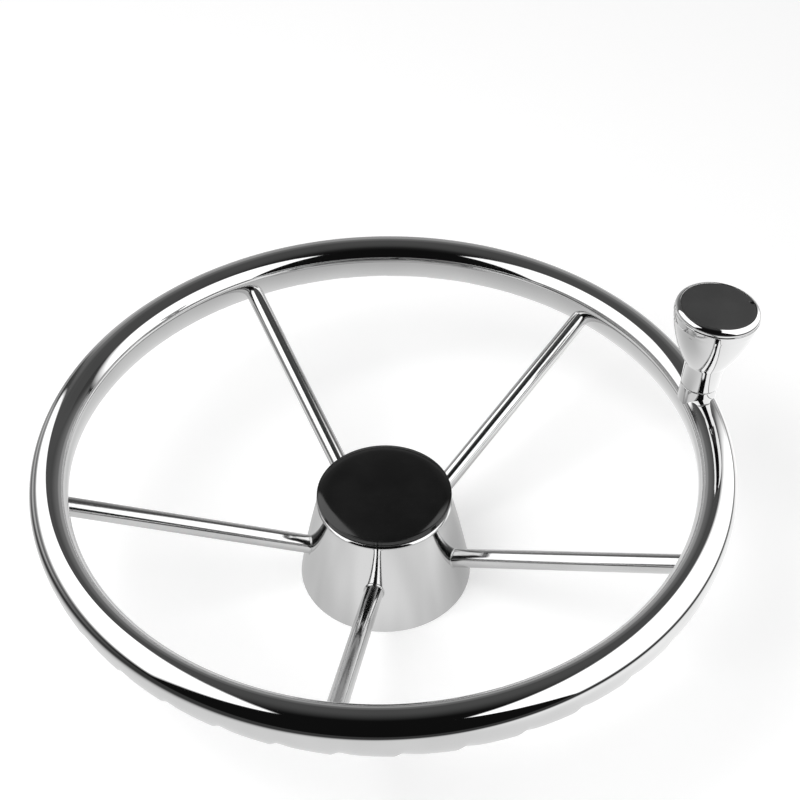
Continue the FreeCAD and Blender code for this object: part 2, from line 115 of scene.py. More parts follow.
def mixNumbers(tree, factor, first, second):
    return mixNode(tree, "FLOAT", (0, 2, 3), (factor, first, second)).outputs[0]


def lengthNode(tree, vector):
    node = addNode(tree, "ShaderNodeVectorMath", operation="LENGTH")
    feed(tree, node.inputs[0], vector)
    return node.outputs["Value"]


def bumpNode(tree, height, strength, distance, normal=None):
    node = addNode(tree, "ShaderNodeBump")
    node.inputs["Strength"].default_value = strength
    node.inputs["Distance"].default_value = distance
    feed(tree, node.inputs["Height"], height)
    if normal is not None:
        feed(tree, node.inputs["Normal"], normal)
    return node.outputs[0]


def grey(level):
    return (level, level, level, 1.0)


polishedFinish = {
    "light": 0.72, "dark": 0.66, "smoothest": 0.025, "roughest": 0.075,
    "cloudScale": 22.0, "cloudStart": 0.35, "cloudEnd": 0.7, "cloudShare": 0.65, "upright": 1.0,
    "hairScale": 900.0, "hairStart": 0.45, "hairEnd": 0.75, "hairShare": 0.35, "hairUpright": 0.12,
    "hairBump": 0.02, "hairDepth": 0.02 * mm,
    "waveScale": 60.0, "waveBump": 0.05, "waveDepth": 0.4 * mm,
}


def polishedSteel(name, **changes):
    # mirror polish: faint clouding, hair lines from the mop and a slight waviness;
    # a small upright value draws a pattern out into bands up the piece
    s = {**polishedFinish, **changes}
    material, tree, shader, place = startMaterial(name)
    cloudPlace = stretched(tree, place, (1.0, 1.0, s["upright"]))
    hairPlace = stretched(tree, place, (1.0, 1.0, s["hairUpright"]))
    cloud = noiseNode(tree, cloudPlace, s["cloudScale"], detail=2.0, rough=0.5)
    hair = noiseNode(tree, hairPlace, s["hairScale"], detail=2.0, rough=0.5)
    wave = noiseNode(tree, place, s["waveScale"], detail=1.0, rough=0.4)
    worn = rampNode(tree, cloud, s["cloudStart"], s["cloudEnd"])
    feed(tree, shader.inputs["Base Color"],
         mixColours(tree, worn, grey(s["light"]), grey(s["dark"])))
    hairs = rampNode(tree, hair, s["hairStart"], s["hairEnd"])
    rough = mathNode(tree, "ADD", mathNode(tree, "MULTIPLY", worn, s["cloudShare"]),
                     mathNode(tree, "MULTIPLY", hairs, s["hairShare"]))
    feed(tree, shader.inputs["Roughness"],
         rampNode(tree, rough, 0.0, 1.0, s["smoothest"], s["roughest"], smooth=False))
    shader.inputs["Metallic"].default_value = 1.0
    fine = bumpNode(tree, hair, s["hairBump"], s["hairDepth"])
    feed(tree, shader.inputs["Normal"], bumpNode(tree, wave, s["waveBump"], s["waveDepth"], fine))
    return material


turnedFinish = {
    "light": 0.60, "dark": 0.50, "smoothest": 0.22, "roughest": 0.34,
    "ringPitch": 9000.0, "stepPitch": 7000.0, "ringBump": 0.15, "ringDepth": 0.03 * mm,
    "wander": 2.0, "wanderScale": 140.0, "cloudScale": 60.0, "cloudStart": 0.3, "cloudEnd": 0.7,
}


def turnedSteel(name):
    # lathe rings round the wheel's axis
    s = turnedFinish
    material, tree, shader, place = startMaterial(name)
    split = addNode(tree, "ShaderNodeSeparateXYZ")
    feed(tree, split.inputs[0], place)
    squares = [mathNode(tree, "POWER", split.outputs[side], 2.0) for side in ("X", "Y")]
    reach = mathNode(tree, "SQRT", mathNode(tree, "ADD", *squares))
    wander = noiseNode(tree, place, s["wanderScale"], detail=2.0)
    ringInput = mathNode(tree, "ADD", mathNode(tree, "MULTIPLY", reach, s["ringPitch"]),
                         mathNode(tree, "MULTIPLY", split.outputs["Z"], s["stepPitch"]))
    ringInput = mathNode(tree, "ADD", ringInput, mathNode(tree, "MULTIPLY", wander, s["wander"]))
    rings = mathNode(tree, "SINE", ringInput)
    cloud = noiseNode(tree, place, s["cloudScale"], detail=4.0, rough=0.6)
    cloud = rampNode(tree, cloud, s["cloudStart"], s["cloudEnd"])
    feed(tree, shader.inputs["Base Color"],
         mixColours(tree, cloud, grey(s["light"]), grey(s["dark"])))
    feed(tree, shader.inputs["Roughness"],
         rampNode(tree, cloud, 0.0, 1.0, s["smoothest"], s["roughest"]))
    shader.inputs["Metallic"].default_value = 1.0
    feed(tree, shader.inputs["Normal"], bumpNode(tree, rings, s["ringBump"], s["ringDepth"]))
    return material


beadFinish = {
    "light": 0.60, "heatTint": (0.44, 0.42, 0.40, 1.0), "smoothest": 0.14, "roughest": 0.32,
    "rippleScale": 700.0, "rippleStart": 0.3, "rippleEnd": 0.8,
    "rippleBump": 0.25, "rippleDepth": 0.1 * mm,
    "heatScale": 120.0, "heatStart": 0.35, "heatEnd": 0.7,
}


def weldSteel(name):
    # an undressed bead: ripples, and a heat tint in patches
    s = beadFinish
    material, tree, shader, place = startMaterial(name)
    ripple = noiseNode(tree, place, s["rippleScale"], detail=3.0, rough=0.6)
    heat = noiseNode(tree, place, s["heatScale"], detail=3.0)
    heat = rampNode(tree, heat, s["heatStart"], s["heatEnd"])
    feed(tree, shader.inputs["Base Color"],
         mixColours(tree, heat, grey(s["light"]), s["heatTint"]))
    feed(tree, shader.inputs["Roughness"],
         rampNode(tree, ripple, s["rippleStart"], s["rippleEnd"], s["smoothest"], s["roughest"]))
    shader.inputs["Metallic"].default_value = 1.0
    feed(tree, shader.inputs["Normal"], bumpNode(tree, ripple, s["rippleBump"], s["rippleDepth"]))
    return material


plasticFinishes = {
    "capBlack": {"colour": 0.0065, "worn": 0.011, "shine": 0.5, "smooth": 0.10, "rough": 0.17,
                 "grain": 1500.0, "bump": 0.03},
    "lidBlack": {"colour": 0.044, "worn": 0.054, "shine": 0.32, "smooth": 0.42, "rough": 0.55,
                 "grain": 2600.0, "bump": 0.12},
    "bushNylon": {"colour": 0.70, "worn": 0.62, "shine": 0.5, "smooth": 0.42, "rough": 0.55,
                  "grain": 1800.0, "bump": 0.06},
}
plasticWear = {
    "cloudScale": 35.0, "cloudStart": 0.35, "cloudEnd": 0.7, "cloudShare": 0.6,
    "scuffScale": 160.0, "scuffStretch": 6.0, "scuffStart": 0.58, "scuffEnd": 0.74,
    "scuffShare": 0.4, "grainDepth": 0.03 * mm,
}


def mouldedPlastic(name):
    # clouded and finely grained, with a few scuffs
    s, w = plasticFinishes[name], plasticWear
    material, tree, shader, place = startMaterial(name)
    cloud = noiseNode(tree, place, w["cloudScale"], detail=5.0, rough=0.6)
    cloud = rampNode(tree, cloud, w["cloudStart"], w["cloudEnd"])
    grain = noiseNode(tree, place, s["grain"], detail=2.0)
    scuffPlace = stretched(tree, place, (1.0, w["scuffStretch"], 1.0))
    scuff = noiseNode(tree, scuffPlace, w["scuffScale"], detail=6.0, rough=0.75)
    scuff = rampNode(tree, scuff, w["scuffStart"], w["scuffEnd"])
    feed(tree, shader.inputs["Base Color"],
         mixColours(tree, cloud, grey(s["colour"]), grey(s["worn"])))
    wear = mathNode(tree, "ADD", mathNode(tree, "MULTIPLY", cloud, w["cloudShare"]),
                    mathNode(tree, "MULTIPLY", scuff, w["scuffShare"]))
    feed(tree, shader.inputs["Roughness"], rampNode(tree, wear, 0.0, 1.0, s["smooth"], s["rough"]))
    shader.inputs["Specular IOR Level"].default_value = s["shine"]
    feed(tree, shader.inputs["Normal"], bumpNode(tree, grain, s["bump"], w["grainDepth"]))
    return material


print("finishes made")


def runPoints(start, end, sagitta, steps=14):
    # an arc between two points; a positive sagitta bows to the right of the run
    if not sagitta:
        return [start]
    (x0, y0), (x1, y1) = start, end
    chord = math.hypot(x1 - x0, y1 - y0)
    rightX, rightY = (y1 - y0) / chord, -(x1 - x0) / chord
    spots = []
    for step in range(steps):
        along = step / steps
        off = 4 * sagitta * along * (1 - along)
        spots.append((x0 + (x1 - x0) * along + rightX * off, y0 + (y1 - y0) * along + rightY * off))
    return spots


def bend(first, corner, last, t):
    # a smooth run from first to last that leans towards the corner
    return first * (1 - t) ** 2 + corner * 2 * t * (1 - t) + last * t ** 2


def roundedOutline(corners, steps=5):
    # corners are (across, up, rounding, sagitta of the run to the next corner)
    full = [tuple(corner) + (0,) * (4 - len(corner)) for corner in corners]
    spots = []
    count = len(full)
    for index, (x, y, rounding, sagitta) in enumerate(full):
        before, after = full[index - 1], full[(index + 1) % count]
        leave = (x, y)
        if rounding:
            corner = Vector((x, y))
            toBefore = Vector((before[0] - x, before[1] - y))
            toAfter = Vector((after[0] - x, after[1] - y))
            opening = toBefore.angle(toAfter)
            setback = rounding / math.tan(opening / 2)
            first = corner + toBefore.normalized() * setback
            last = corner + toAfter.normalized() * setback
            for step in range(steps + 1):
                spots.append(tuple(bend(first, corner, last, step / steps)))
            leave = spots.pop()
        spots += runPoints(leave, after[:2], sagitta)
    return spots


def meshObject(name, spots, faces, material, sharpAngle=35.0, place=None):
    mesh = bpy.data.meshes.new(name)
    mesh.from_pydata([tuple(spot) for spot in spots], [], faces)
    if place is not None:
        mesh.transform(place)
    mesh.materials.append(material)
    mesh.polygons.foreach_set("use_smooth", [True] * len(mesh.polygons))
    mesh.set_sharp_from_angle(angle=math.radians(sharpAngle))
    mesh.update()
    piece = bpy.data.objects.new(name, mesh)
    bpy.context.scene.collection.objects.link(piece)
    return piece


onAxis = 1e-6


def lathe(name, corners, material, steps=128, place=None, closed=True):
    # turns an outline in millimetres about Z; points on the axis become one vertex
    outline = roundedOutline(corners)
    spots, rows = [], []
    for across, up in outline:
        if across < onAxis:
            rows.append([len(spots)] * steps)
            spots.append((0, 0, up * mm))
            continue
        rows.append(list(range(len(spots), len(spots) + steps)))
        for step in range(steps):
            turn = fullTurn * step / steps
            spots.append((across * mm * math.cos(turn), across * mm * math.sin(turn), up * mm))
    faces = []
    pairs = list(zip(rows, rows[1:] + rows[:1])) if closed else list(zip(rows, rows[1:]))
    for low, high in pairs:
        if low[0] == low[1] and high[0] == high[1]:
            continue
        for step in range(steps):
            follower = (step + 1) % steps
            ring = [low[step], low[follower], high[follower], high[step]]
            face = [spot for spot, later in zip(ring, ring[1:] + ring[:1]) if spot != later]
            faces.append(face)
    return meshObject(name, spots, faces, material, place=place)


def fitted(piece, body, slot, *nodes):
    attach(piece, body)
    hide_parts(*nodes)


def bakeTree(name, tree, inputs):
    # runs a geometry tree on an empty mesh and keeps the result as a plain mesh
    carrier = bpy.data.objects.new(name + "Carrier", bpy.data.meshes.new(name + "Carrier"))
    bpy.context.scene.collection.objects.link(carrier)
    modifier = carrier.modifiers.new("build", "NODES")
    modifier.node_group = tree
    sockets = {item.name: item.identifier for item in tree.interface.items_tree
               if item.item_type == "SOCKET"}
    for label, value in inputs.items():
        modifier[sockets[label]] = value
    bpy.context.view_layer.update()
    graph = bpy.context.evaluated_depsgraph_get()
    mesh = bpy.data.meshes.new_from_object(carrier.evaluated_get(graph), depsgraph=graph)
    mesh.name = name
    carrier.modifiers.remove(modifier)
    bpy.data.objects.remove(carrier)
    piece = bpy.data.objects.new(name, mesh)
    bpy.context.scene.collection.objects.link(piece)
    return piece


def startTree(name, inputs):
    tree = bpy.data.node_groups.new(name, "GeometryNodeTree")
    for label, (kind, default) in inputs.items():
        socket = tree.interface.new_socket(label, in_out="INPUT", socket_type=kind)
        socket.default_value = default
    tree.interface.new_socket("Geometry", in_out="OUTPUT", socket_type="NodeSocketGeometry")
    entry = addNode(tree, "NodeGroupInput")
    result = addNode(tree, "NodeGroupOutput")
    return tree, entry.outputs, result.inputs


number, whole = "NodeSocketFloat", "NodeSocketInt"


def socketKinds(sizes):
    # a tree's inputs: whole numbers for counts, plain numbers for the rest
    return {label: (whole if isinstance(value, int) else number, value)
            for label, value in sizes.items()}


def paintedTree(tree, geometry, material):
    # real geometry that carries its material
    real = addNode(tree, "GeometryNodeRealizeInstances")
    feed(tree, real.inputs[0], geometry)
    painted = addNode(tree, "GeometryNodeSetMaterial")
    painted.inputs["Material"].default_value = material
    feed(tree, painted.inputs[0], real.outputs[0])
    return painted.outputs[0]


# rim with finger grips
rimSizes = {
    "Ring Radius": 162.3 * mm, "Height": 85.0 * mm, "Tube Radius": 9.15 * mm,
    "Grip Count": 40, "Grip Depth": 14.7 * mm, "Bottom Radius": 7.0 * mm,
    "Tilt": math.radians(5.2), "Skew": math.radians(35.0), "Phase": math.radians(8.0),
    "Step Length": 0.16, "Rise Length": 0.45, "Rise Share": 0.42, "Inner Level": 0.6 * mm,
    "Steps Per Grip": 32, "Steps Around": 72,
}
# how closely the grid crowds at the ends of a grip, where over the section the grips die
# out towards the hub and the crown, and a nudge that keeps a grid line in its own grip
rimShares = {
    "crowding": 0.88, "innerFade": (-0.8, -0.15), "crownFade": (0.0, 0.5),
    "nudge": 1e-5, "mergeDistance": 0.005 * mm,
}


def rimTree(material):
    tree, given, result = startTree("fingerGripRim", socketKinds(rimSizes))

    def calc(operation, *values):
        return mathNode(tree, operation, *values)

    def choose(test, whenFalse, whenTrue):
        node = addNode(tree, "GeometryNodeSwitch", input_type="FLOAT")
        for socket, value in zip(node.inputs, (test, whenFalse, whenTrue)):
            feed(tree, socket, value)
        return node.outputs[0]

    rows = calc("MULTIPLY", given["Grip Count"], given["Steps Per Grip"])
    grid = addNode(tree, "GeometryNodeMeshGrid")
    grid.inputs["Size X"].default_value = 1.0
    grid.inputs["Size Y"].default_value = 1.0
    feed(tree, grid.inputs["Vertices X"], calc("ADD", rows, 1.0))
    feed(tree, grid.inputs["Vertices Y"], calc("ADD", given["Steps Around"], 1.0))
    split = addNode(tree, "ShaderNodeSeparateXYZ")
    feed(tree, split.inputs[0], addNode(tree, "GeometryNodeInputPosition").outputs[0])
    alongRing = calc("ADD", split.outputs["X"], 0.5)
    roundTube = calc("ADD", split.outputs["Y"], 0.5)

    # the place along one grip: grid lines crowd together at its two ends
    cells = calc("ADD", calc("MULTIPLY", alongRing, given["Grip Count"]), rimShares["nudge"])
    grip = calc("FLOOR", cells)
    even = calc("MAXIMUM", calc("SUBTRACT", calc("FRACT", cells), rimShares["nudge"]), 0.0)
    wave = calc("SINE", calc("MULTIPLY", even, fullTurn))
    share = calc("SUBTRACT", even, calc("MULTIPLY", wave, rimShares["crowding"] / fullTurn))

    # the section: a round crown and, below, an oval of three arcs
    heading = calc("MULTIPLY", roundTube, fullTurn)
    across = calc("COSINE", heading)
    upward = calc("SINE", heading)
    downward = calc("MULTIPLY", upward, -1.0)
    drop = calc("SUBTRACT", given["Grip Depth"], given["Bottom Radius"])
    narrow = calc("SUBTRACT", given["Tube Radius"], given["Bottom Radius"])
    dropSquare = calc("POWER", drop, 2.0)
    squares = calc("SUBTRACT", calc("ADD", calc("POWER", given["Tube Radius"], 2.0), dropSquare),
                   calc("POWER", given["Bottom Radius"], 2.0))
    sideRadius = calc("DIVIDE", squares, calc("MULTIPLY", narrow, 2.0))
    sideCentre = calc("SUBTRACT", sideRadius, given["Tube Radius"])
    sideReach = calc("SQRT", calc("ADD", dropSquare, calc("POWER", sideCentre, 2.0)))
    turnOver = calc("DIVIDE", drop, sideReach)
    lower = calc("LESS_THAN", upward, 0.0)
    onBottom = calc("MULTIPLY", calc("GREATER_THAN", downward, turnOver), lower)
    lowerRadius = choose(onBottom, sideRadius, given["Bottom Radius"])
    arcRadius = choose(lower, given["Tube Radius"], lowerRadius)
    sideShift = calc("MULTIPLY", calc("SIGN", across), calc("MULTIPLY", sideCentre, -1.0))
    shiftAcross = choose(lower, 0.0, choose(onBottom, sideShift, 0.0))
    shiftUp = choose(onBottom, 0.0, calc("MULTIPLY", drop, -1.0))
    sectionAcross = calc("ADD", calc("MULTIPLY", arcRadius, across), shiftAcross)
    sectionUp = calc("ADD", calc("MULTIPLY", arcRadius, upward), shiftUp)

    # a grip leans: it starts tucked in and ends proud, along a slanting line
    pitch = calc("DIVIDE", fullTurn, given["Grip Count"])
    reach = calc("ADD", given["Ring Radius"], sectionAcross)
    slant = calc("MULTIPLY", sectionAcross, calc("TANGENT", given["Skew"]))
    sweep = calc("ARCTAN2", slant, reach)
    turn = calc("MULTIPLY", calc("ADD", grip, share), pitch)
    turn = calc("ADD", calc("ADD", turn, given["Phase"]), sweep)
    leanScale = calc("MULTIPLY", given["Ring Radius"], calc("TANGENT", given["Tilt"]))

    def leanAt(gripShare):
        angle = calc("ADD", calc("MULTIPLY", calc("SUBTRACT", gripShare, 0.5), pitch), sweep)
        return calc("MULTIPLY", calc("SINE", angle), leanScale)

    # how far it is tucked in: a soft step, a quick rise and a long shallow run
    stepHeight = calc("SUBTRACT", leanAt(1.0), leanAt(0.0))
    step = rampNode(tree, share, 0.0, given["Step Length"])
    rise = rampNode(tree, share, given["Step Length"], given["Rise Length"])
    rise = calc("MULTIPLY", rise, given["Rise Share"])
    tuck = calc("MULTIPLY", step, calc("SUBTRACT", 1.0, share))
    tuck = calc("MULTIPLY", tuck, calc("SUBTRACT", 1.0, rise))
    lean = calc("SUBTRACT", leanAt(1.0), calc("MULTIPLY", stepHeight, tuck))
    # the grips die out towards the hub, and up towards the crown
    outer = rampNode(tree, across, *rimShares["innerFade"])
    lean = calc("ADD", given["Inner Level"],
                calc("MULTIPLY", calc("SUBTRACT", lean, given["Inner Level"]), outer))
    hold = rampNode(tree, downward, *rimShares["crownFade"])
    height = calc("ADD", given["Height"], calc("SUBTRACT", sectionUp, calc("MULTIPLY", lean, hold)))

    join = addNode(tree, "ShaderNodeCombineXYZ")
    feed(tree, join.inputs[0], calc("MULTIPLY", reach, calc("COSINE", turn)))
    feed(tree, join.inputs[1], calc("MULTIPLY", reach, calc("SINE", turn)))
    feed(tree, join.inputs[2], height)
    moved = addNode(tree, "GeometryNodeSetPosition")
    feed(tree, moved.inputs["Geometry"], grid.outputs["Mesh"])
    feed(tree, moved.inputs["Position"], join.outputs[0])
    merged = addNode(tree, "GeometryNodeMergeByDistance")
    merged.inputs["Distance"].default_value = rimShares["mergeDistance"]
    feed(tree, merged.inputs["Geometry"], moved.outputs[0])
    smooth = addNode(tree, "GeometryNodeSetShadeSmooth")
    feed(tree, smooth.inputs["Geometry"], merged.outputs[0])
    feed(tree, result["Geometry"], paintedTree(tree, smooth.outputs[0], material))
    return tree


polished = polishedSteel("polishedRimSteel")
rim = bakeTree("gripRim", rimTree(polished), rimSizes)
fitted(rim, "wheel", "polished_steel", "rim")
print("rim made:", len(rim.data.polygons), "faces")

# spokes: one rod, repeated round the hub
spokeSizes = {
    "Count": 5, "Phase": math.radians(-99.0), "Radius": 4.75 * mm,
    "Hub Ring": 35.0 * mm, "Hub Height": 23.3 * mm,
    "Rim Ring": 157.5 * mm, "Rim Height": 77.5 * mm, "Round Steps": 64,
}
spokeEdge = math.radians(40.0)  # steeper edges stay crisp


def spreadRound(tree, given, geometry, material):
    # the same piece at every spoke, turned about the wheel's axis
    spots = addNode(tree, "GeometryNodePoints")
    feed(tree, spots.inputs["Count"], given["Count"])
    placed = addNode(tree, "GeometryNodeInstanceOnPoints")
    feed(tree, placed.inputs["Points"], spots.outputs[0])
    feed(tree, placed.inputs["Instance"], geometry)
    which = addNode(tree, "GeometryNodeInputIndex").outputs[0]
    pitch = mathNode(tree, "DIVIDE", fullTurn, given["Count"])
    turn = mathNode(tree, "ADD", mathNode(tree, "MULTIPLY", which, pitch), given["Phase"])
    spin = addNode(tree, "ShaderNodeCombineXYZ")
    feed(tree, spin.inputs[2], turn)
    feed(tree, placed.inputs["Rotation"], spin.outputs[0])
    return paintedTree(tree, placed.outputs[0], material)


def spokeTree(material):
    tree, given, result = startTree("dishedSpokes", socketKinds(spokeSizes))

    def spot(ring, height):
        node = addNode(tree, "ShaderNodeCombineXYZ")
        feed(tree, node.inputs[0], ring)
        feed(tree, node.inputs[2], height)
        return node.outputs[0]

    line = addNode(tree, "GeometryNodeCurvePrimitiveLine")
    feed(tree, line.inputs["Start"], spot(given["Hub Ring"], given["Hub Height"]))
    feed(tree, line.inputs["End"], spot(given["Rim Ring"], given["Rim Height"]))
    section = addNode(tree, "GeometryNodeCurvePrimitiveCircle")
    feed(tree, section.inputs["Resolution"], given["Round Steps"])
    feed(tree, section.inputs["Radius"], given["Radius"])
    rod = addNode(tree, "GeometryNodeCurveToMesh")
    feed(tree, rod.inputs["Curve"], line.outputs[0])
    feed(tree, rod.inputs["Profile Curve"], section.outputs[0])
    rod.inputs["Fill Caps"].default_value = True
    smooth = addNode(tree, "GeometryNodeSetShadeSmooth")
    feed(tree, smooth.inputs["Geometry"], rod.outputs[0])
    feed(tree, result["Geometry"], spreadRound(tree, given, smooth.outputs[0], material))
    return tree


spokeSteel = polishedSteel("spokeSteel", light=0.70, dark=0.64, smoothest=0.11, roughest=0.17,
                           waveBump=0.01, hairBump=0.005)
spokes = bakeTree("spokes", spokeTree(spokeSteel), spokeSizes)
spokes.data.set_sharp_from_angle(angle=spokeEdge)
fitted(spokes, "wheel", "spoke_steel",
       *["spoke_%d" % (index + 1) for index in range(spokeSizes["Count"])])
print("spokes made")

# hub shell, boss, plate and cap; the sizes of the turned pieces are in millimetres
hubSizes = {
    "baseRadius": 44.6, "topRadius": 34.1, "sideHeight": 50.4, "height": 52.4, "bow": 0.49,
    "wall": 2.5, "mouthRadius": 31.6, "mouthDepth": 3.5, "mouthRounding": 0.2,
    "innerFootRounding": 0.3, "footRounding": 0.35, "neckRounding": 0.8,
    "lipOut": 0.55, "lipUp": 0.9, "lipRounding": 0.5, "lipInset": 0.4, "lipTopRounding": 0.45,
}
capSizes = {
    "foot": 52.4, "flangeRadius": 33.8, "flange": 0.8, "groove": 0.6, "radius": 34.1,
    "side": 1.8, "edge": 0.6, "edgeDrop": 0.1, "shoulder": 6.0, "shoulderDrop": 1.5,
    "shoulderBow": 0.30, "domeBow": 0.15, "rise": 0.6, "wall": 1.8,
    "skirtRadius": 31.57, "skirtFoot": 46.4,
    "rounding": 0.25, "grooveRounding": 0.1, "edgeRounding": 0.55, "innerRounding": 0.4,
}


def innerSide(height):
    h = hubSizes
    slope = (h["baseRadius"] - h["topRadius"]) / h["sideHeight"]
    return h["baseRadius"] - h["wall"] - height * slope


def dress(material, *nodes):
    # a CAD piece that shows as it is, with its finish
    for node in nodes:
        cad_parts[node].data.materials.clear()
        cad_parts[node].data.materials.append(material)


def buildShell():
    h = hubSizes
    shellSteel = polishedSteel("hubSteel", light=0.80, dark=0.58, smoothest=0.05, roughest=0.12,
                               cloudScale=34.0, waveScale=34.0, waveBump=0.06, upright=0.06)
    mouthFoot = h["sideHeight"] - h["mouthDepth"]
    shell = lathe("hubShell", [
        (h["baseRadius"] - h["wall"], 0, h["innerFootRounding"]),
        (h["baseRadius"], 0, h["footRounding"], h["bow"]),
        (h["topRadius"], h["sideHeight"], h["neckRounding"]),
        (h["topRadius"] + h["lipOut"], h["sideHeight"] + h["lipUp"], h["lipRounding"]),
        (h["topRadius"] - h["lipInset"], h["height"], h["lipTopRounding"]),
        (h["mouthRadius"], h["height"], h["mouthRounding"]),
        (h["mouthRadius"], mouthFoot + h["mouthDepth"] / 2),
        (innerSide(mouthFoot), mouthFoot)], shellSteel, steps=192)
    fitted(shell, "wheel", "hub_steel", "hub_shell")
    dress(turnedSteel("turnedHubSteel"), "hub_boss", "hub_plate")


def buildCap():
    c = capSizes
    flangeTop = c["foot"] + c["flange"]
    grooveRadius = c["flangeRadius"] - c["groove"]
    sideFoot = flangeTop + c["groove"]
    sideTop = sideFoot + c["side"]
    shoulderFoot = sideTop + c["edge"]
    domeFoot = shoulderFoot + c["shoulderDrop"]
    domeEdge = c["radius"] - c["edge"] - c["shoulder"]
    inner = c["skirtRadius"] - c["wall"]
    cap = lathe("hubCap", [
        (0, domeFoot + c["rise"] - c["wall"]), (inner, sideTop, c["innerRounding"]),
        (inner, c["skirtFoot"]), (c["skirtRadius"], c["skirtFoot"]), (c["skirtRadius"], c["foot"]),
        (c["flangeRadius"], c["foot"], c["rounding"]),
        (c["flangeRadius"], flangeTop, c["rounding"]),
        (grooveRadius, flangeTop, c["grooveRounding"]),
        (grooveRadius, sideFoot, c["grooveRounding"]),
        (c["radius"], sideFoot, c["rounding"]),
        (c["radius"], shoulderFoot - c["edgeDrop"], c["edgeRounding"]),
        (c["radius"] - c["edge"], shoulderFoot, 0, c["shoulderBow"]),
        (domeEdge, domeFoot, 0, c["domeBow"]), (0, domeFoot + c["rise"])],
        mouldedPlastic("capBlack"), steps=192)
    fitted(cap, "wheel", "cap_black", "hub_cap")


buildShell()
buildCap()
print("hub made")

# knob on its leaning axis
knobPlace = {"ring": 161.7, "turn": math.radians(11.1), "lean": math.radians(4.0), "height": 85.0}
knobSizes = {
    "foot": 13.26, "boreRadius": 7.06, "neckFoot": 9.45, "neckTop": 10.2, "neckHeight": 26.8,
    "flare": 1.41, "shoulderRadius": 20.5, "shoulder": 54.0, "lipRadius": 21.0, "lipStart": 57.8,
    "lipBow": 0.85, "mouthRadius": 18.25, "top": 61.7, "seatDepth": 1.5, "seatGap": 0.4,
    "ledge": 1.05, "footRounding": 0.4, "shoulderRounding": 0.6, "lipRounding": 1.2,
    "mouthRounding": 0.3,
}
lidSizes = {
    "room": 0.12, "thickness": 1.7, "rounding": 0.35, "flatInset": 2.4, "flatRise": 0.02,
    "crown": 0.05, "notchRadius": 1.25, "notchInset": 0.7, "notchFoot": 0.3,
}
collarSizes = {"foot": 3.0, "top": 12.7, "radius": 9.3, "boreRadius": 4.03, "rounding": 0.3}


def knobMatrix():
    p = knobPlace
    turn = Matrix.Rotation(p["turn"], 4, "Z")
    place = Matrix.Translation((p["ring"] * mm, 0, p["height"] * mm))
    return turn @ place @ Matrix.Rotation(p["lean"], 4, "Y")


def notchEdge(piece, centre, radius, foot):
    # pushes a disc's upper edge in where a small round notch lies on it
    for vertex in piece.data.vertices:
        x, y, z = vertex.co
        if z > foot and x > 0 and math.hypot(x - centre, y) < radius:
            vertex.co.x = centre - math.sqrt(radius ** 2 - y ** 2)


def buildCup(place, seat):
    k = knobSizes
    steel = polishedSteel("knobSteel", light=0.74, dark=0.69, smoothest=0.02, roughest=0.06,
                          waveBump=0.02)
    cup = lathe("knobCup", [
        (k["boreRadius"], k["foot"]), (k["neckFoot"], k["foot"], k["footRounding"]),
        (k["neckTop"], k["neckHeight"], 0, k["flare"]),
        (k["shoulderRadius"], k["shoulder"], k["shoulderRounding"]),
        (k["lipRadius"], k["lipStart"], k["lipRounding"], k["lipBow"]),
        (k["mouthRadius"], k["top"], k["mouthRounding"]), (k["mouthRadius"], seat),
        (k["mouthRadius"] - k["ledge"], seat)], steel, steps=160, place=place, closed=False)
    fitted(cup, "knob", "knob_steel", "knob_body")


def buildLid(place, seat):
    s, mouth = lidSizes, knobSizes["mouthRadius"]
    top = seat + s["thickness"]
    lid = lathe("knobLid", [
        (0, seat), (mouth - s["room"], seat), (mouth - s["room"], top, s["rounding"]),
        (mouth - s["flatInset"], top + s["flatRise"]), (0, top + s["crown"])],
        mouldedPlastic("lidBlack"), steps=480, closed=False)
    notchEdge(lid, (mouth - s["notchInset"]) * mm, s["notchRadius"] * mm,
              (seat + s["notchFoot"]) * mm)
    lid.data.transform(place)
    fitted(lid, "knob", "lid_black", "knob_lid")


def buildCollar(place):
    s = collarSizes
    collar = lathe("knobCollar", [
        (s["boreRadius"], s["foot"]), (s["radius"], s["foot"]),
        (s["radius"], s["top"], s["rounding"]), (s["boreRadius"], s["top"])],
        polishedSteel("collarSteel"), steps=128, place=place)
    fitted(collar, "wheel", "polished_steel", "knob_mount")


knobAxis = knobMatrix()
lidSeat = knobSizes["top"] - knobSizes["seatDepth"] - knobSizes["seatGap"]
buildCup(knobAxis, lidSeat)
buildLid(knobAxis, lidSeat)
buildCollar(knobAxis)
dress(turnedSteel("turnedKnobSteel"), "knob_bolt", "knob_washer")
dress(mouldedPlastic("bushNylon"), "knob_bush_lower", "knob_bush_upper")
print("knob made")

# welds dressed to small hollow fillets round the spokes; a search runs along the spoke
# from a share of its length that is buried in the wall to one that is free of it
weldSizes = {
    "throat": 0.9, "bury": 0.03, "aroundSteps": 64, "acrossSteps": 8, "sharpAngle": 60.0,
    "searchSteps": 40, "hubSearch": (0.0, 0.3), "rimSearch": (1.0, 0.7),
}


def offHub(spot):
    h = hubSizes
    share = spot.z / h["sideHeight"]
    side = h["baseRadius"] + (h["topRadius"] - h["baseRadius"]) * share
    return math.hypot(spot.x, spot.y) - (side + 4 * h["bow"] * share * (1 - share))


def offRim(spot):
    reach = math.hypot(spot.x, spot.y) - rimSizes["Ring Radius"] / mm
    return math.hypot(reach, spot.z - rimSizes["Height"] / mm) - rimSizes["Tube Radius"] / mm


def wallDistance(offWall, start, along, low, high):
    # how far along a line, between a buried and a free place, the wall's skin lies
    for _ in range(weldSizes["searchSteps"]):
        middle = (low + high) / 2
        if offWall(start + along * middle) < 0:
            low = middle
        else:
            high = middle
    return (low + high) / 2


